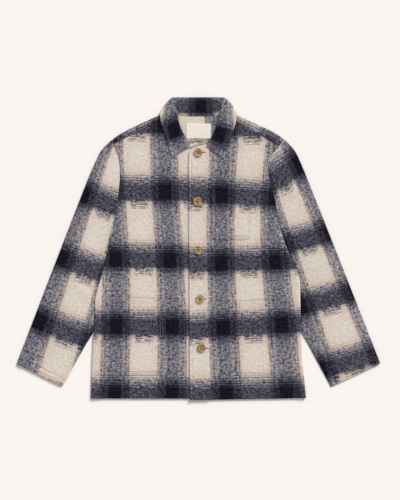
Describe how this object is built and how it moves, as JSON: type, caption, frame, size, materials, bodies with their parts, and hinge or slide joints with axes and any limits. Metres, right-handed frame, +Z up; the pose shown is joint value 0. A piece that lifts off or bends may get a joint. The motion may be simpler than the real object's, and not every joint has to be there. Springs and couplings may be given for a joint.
{
  "type": "wool jacket",
  "caption": "Plaid brushed-wool overshirt jacket laid flat and buttoned, with a turned-down collar, patch pockets and long sleeves beside the body; worn as a warm outer layer.",
  "frame": {"origin": "on the surface that the jacket lies on, under the middle of its box", "axes": "+X to the wearer's left, across the sleeves; +Y from hem to collar; +Z up off the surface, through the front"},
  "size_m": [0.9474, 0.7874, 0.0111],
  "materials": {
    "wool_check": "brushed wool in a navy and cream check, soft nap",
    "horn": "polished horn, amber mottled with brown",
    "label_cloth": "bare off-white woven label"
  },
  "bodies": {
    "root": {"back": "wool_check", "front_right": "wool_check", "front_left": "wool_check", "sleeve_right": "wool_check", "sleeve_left": "wool_check", "collar": "wool_check", "collar_stand": "wool_check", "pocket_chest": "wool_check", "pocket_right": "wool_check", "pocket_left": "wool_check", "button_1": "horn", "button_2": "horn", "button_3": "horn", "button_4": "horn", "button_5": "horn", "neck_label": "label_cloth"}
  },
  "joints": []
}
